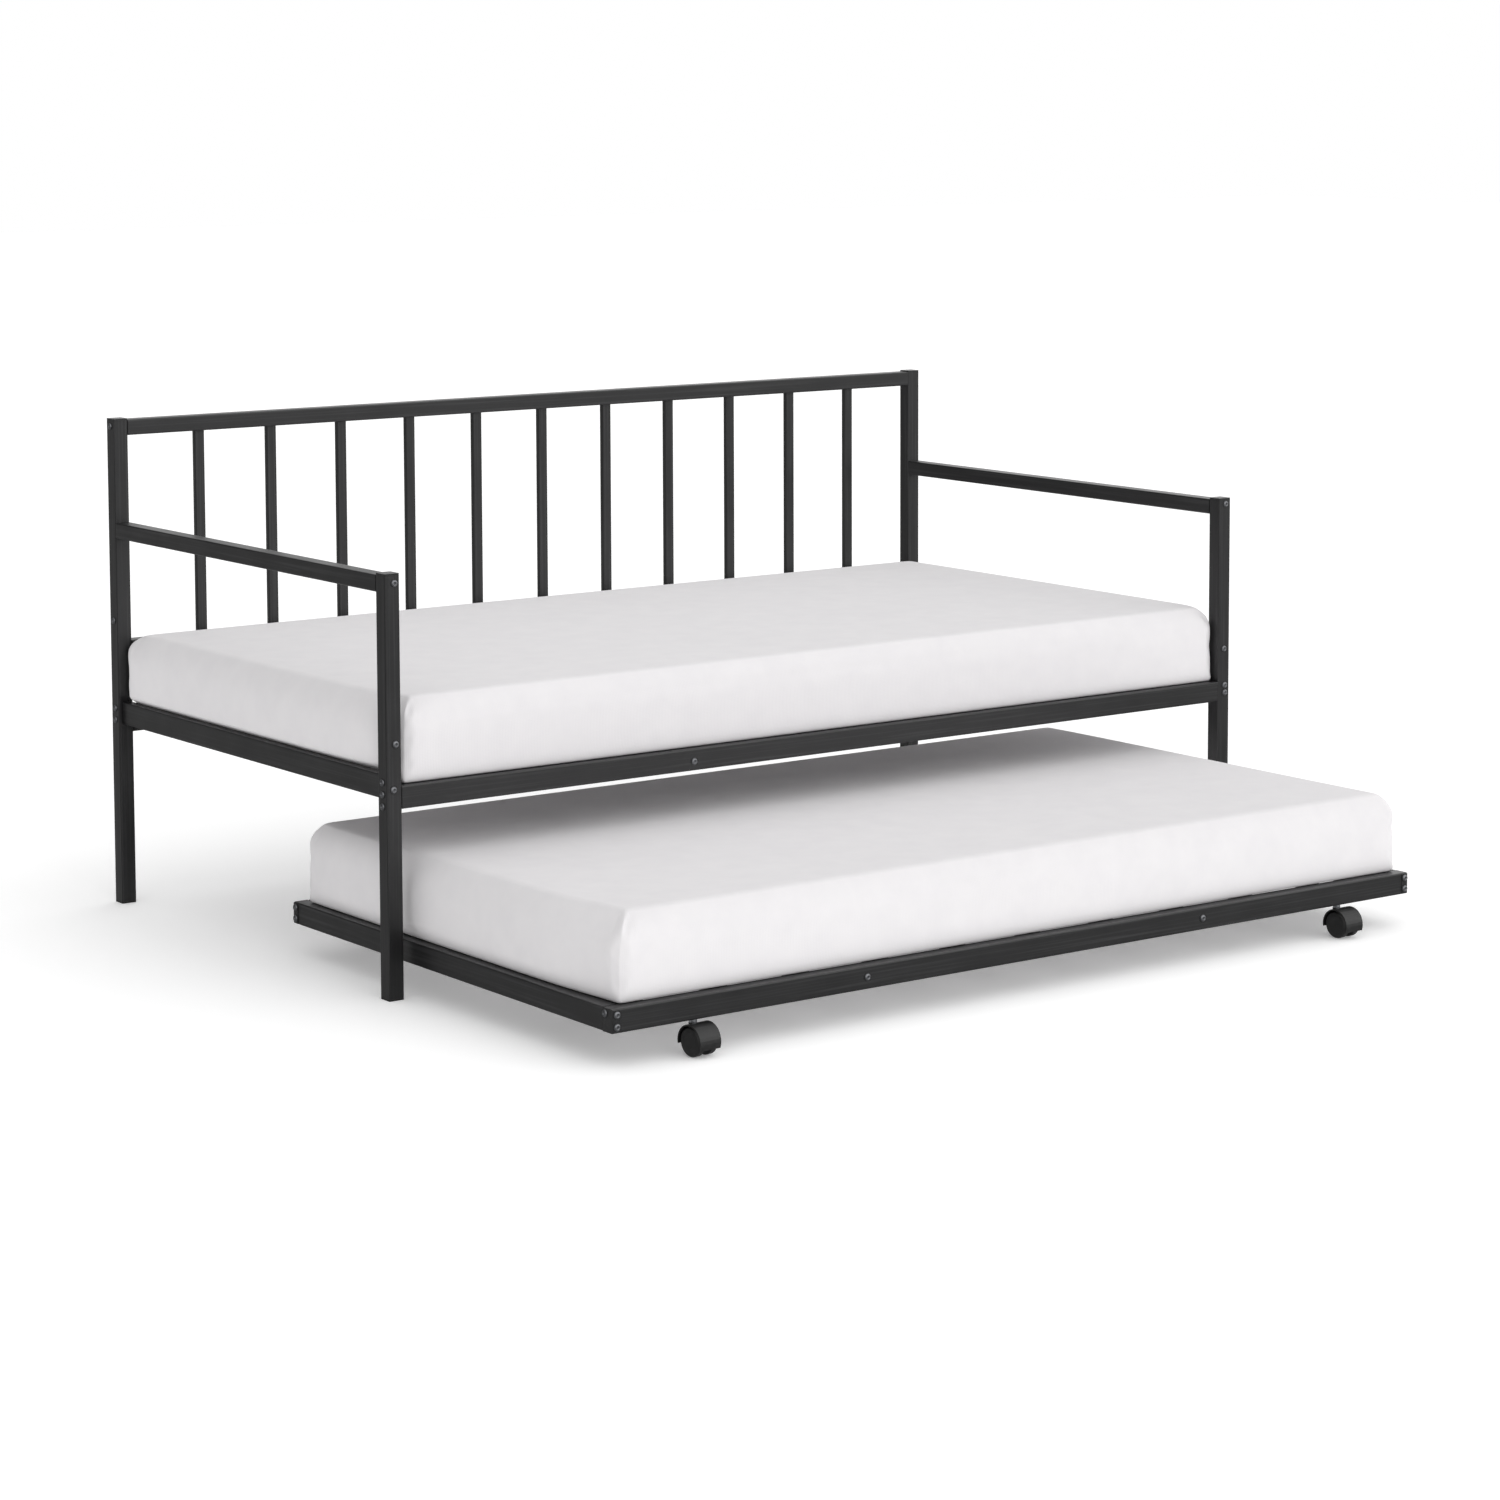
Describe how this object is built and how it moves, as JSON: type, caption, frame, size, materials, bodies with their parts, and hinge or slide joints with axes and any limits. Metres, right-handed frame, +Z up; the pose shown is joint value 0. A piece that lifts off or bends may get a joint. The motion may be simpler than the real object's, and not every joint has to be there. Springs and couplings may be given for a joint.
{
  "type": "trundle bed",
  "caption": "Black metal daybed with a spindle back and low arms, a white mattress, and a wheeled trundle with its own mattress that rolls out at the front.",
  "frame": {"origin": "on the floor, in the middle of the footprint with the trundle part-way out", "axes": "+X along the bed towards its right end, +Y from the trundle towards the spindle back, +Z up"},
  "size_m": [1.965, 1.6822, 0.94],
  "materials": {
    "powder_coat": "satin black powder coat",
    "black_plastic": "moulded black nylon",
    "bright_steel": "zinc plated",
    "knit_cover": "white knitted mattress cover"
  },
  "bodies": {
    "daybed": {"post_rear_left": "powder_coat", "post_cap_rear_left": "powder_coat", "glide_rear_left": "black_plastic", "post_rear_right": "powder_coat", "post_cap_rear_right": "powder_coat", "glide_rear_right": "black_plastic", "post_front_left": "powder_coat", "post_cap_front_left": "powder_coat", "glide_front_left": "black_plastic", "post_front_right": "powder_coat", "post_cap_front_right": "powder_coat", "glide_front_right": "black_plastic", "back_top_rail": "powder_coat", "back_lower_rail": "powder_coat", "rear_seat_rail": "powder_coat", "spindle_01": "powder_coat", "spindle_02": "powder_coat", "spindle_03": "powder_coat", "spindle_04": "powder_coat", "spindle_05": "powder_coat", "spindle_06": "powder_coat", "spindle_07": "powder_coat", "spindle_08": "powder_coat", "spindle_09": "powder_coat", "spindle_10": "powder_coat", "spindle_11": "powder_coat", "front_seat_rail": "powder_coat", "arm_rail_left": "powder_coat", "side_seat_rail_left": "powder_coat", "arm_rail_right": "powder_coat", "side_seat_rail_right": "powder_coat", "daybed_deck": "powder_coat", "daybed_mattress": "knit_cover"},
    "trundle": {"trundle_front_rail": "powder_coat", "trundle_rear_rail": "powder_coat", "trundle_end_rail_left": "powder_coat", "trundle_end_rail_right": "powder_coat", "trundle_deck": "powder_coat", "trundle_mattress": "knit_cover", "caster_front_left_stem": "bright_steel", "caster_front_right_stem": "bright_steel", "caster_rear_left_stem": "bright_steel", "caster_rear_right_stem": "bright_steel"},
    "swivel_front_left": {"caster_front_left_hood": "black_plastic", "caster_front_left_axle": "bright_steel"},
    "wheel_front_left_left": {"caster_front_left_wheel_left": "black_plastic"},
    "wheel_front_left_right": {"caster_front_left_wheel_right": "black_plastic"},
    "swivel_front_right": {"caster_front_right_hood": "black_plastic", "caster_front_right_axle": "bright_steel"},
    "wheel_front_right_left": {"caster_front_right_wheel_left": "black_plastic"},
    "wheel_front_right_right": {"caster_front_right_wheel_right": "black_plastic"},
    "swivel_rear_left": {"caster_rear_left_hood": "black_plastic", "caster_rear_left_axle": "bright_steel"},
    "wheel_rear_left_left": {"caster_rear_left_wheel_left": "black_plastic"},
    "wheel_rear_left_right": {"caster_rear_left_wheel_right": "black_plastic"},
    "swivel_rear_right": {"caster_rear_right_hood": "black_plastic", "caster_rear_right_axle": "bright_steel"},
    "wheel_rear_right_left": {"caster_rear_right_wheel_left": "black_plastic"},
    "wheel_rear_right_right": {"caster_rear_right_wheel_right": "black_plastic"}
  },
  "joints": [
    {"name": "trundle_slide", "type": "slide", "parent": "daybed", "child": "trundle", "axis": [0, 1, 0], "range_m": [-0.43, 0.62]},
    {"name": "swivel_front_left", "type": "hinge", "parent": "trundle", "child": "swivel_front_left", "pos_m": [-0.769, -0.79392, 0.05], "axis": [0, 0, 1], "continuous": true},
    {"name": "swivel_front_right", "type": "hinge", "parent": "trundle", "child": "swivel_front_right", "pos_m": [0.691, -0.79392, 0.05], "axis": [0, 0, 1], "continuous": true},
    {"name": "swivel_rear_left", "type": "hinge", "parent": "trundle", "child": "swivel_rear_left", "pos_m": [-0.769, 0.20608, 0.05], "axis": [0, 0, 1], "continuous": true},
    {"name": "swivel_rear_right", "type": "hinge", "parent": "trundle", "child": "swivel_rear_right", "pos_m": [0.691, 0.20608, 0.05], "axis": [0, 0, 1], "continuous": true},
    {"name": "roll_front_left_left", "type": "hinge", "parent": "swivel_front_left", "child": "wheel_front_left_left", "pos_m": [-0.76761, -0.80986, 0.025], "axis": [0.9962, 0.0872, 0], "continuous": true},
    {"name": "roll_front_left_right", "type": "hinge", "parent": "swivel_front_left", "child": "wheel_front_left_right", "pos_m": [-0.76761, -0.80986, 0.025], "axis": [0.9962, 0.0872, 0], "continuous": true},
    {"name": "roll_front_right_left", "type": "hinge", "parent": "swivel_front_right", "child": "wheel_front_right_left", "pos_m": [0.69184, -0.8099, 0.025], "axis": [0.9986, 0.0523, 0], "continuous": true},
    {"name": "roll_front_right_right", "type": "hinge", "parent": "swivel_front_right", "child": "wheel_front_right_right", "pos_m": [0.69184, -0.8099, 0.025], "axis": [0.9986, 0.0523, 0], "continuous": true},
    {"name": "roll_rear_left_left", "type": "hinge", "parent": "swivel_rear_left", "child": "wheel_rear_left_left", "pos_m": [-0.7665, 0.19027, 0.025], "axis": [0.9877, 0.1564, 0], "continuous": true},
    {"name": "roll_rear_left_right", "type": "hinge", "parent": "swivel_rear_left", "child": "wheel_rear_left_right", "pos_m": [-0.7665, 0.19027, 0.025], "axis": [0.9877, 0.1564, 0], "continuous": true},
    {"name": "roll_rear_right_left", "type": "hinge", "parent": "swivel_rear_right", "child": "wheel_rear_right_left", "pos_m": [0.68933, 0.19016, 0.025], "axis": [0.9945, -0.1045, 0], "continuous": true},
    {"name": "roll_rear_right_right", "type": "hinge", "parent": "swivel_rear_right", "child": "wheel_rear_right_right", "pos_m": [0.68933, 0.19016, 0.025], "axis": [0.9945, -0.1045, 0], "continuous": true}
  ]
}
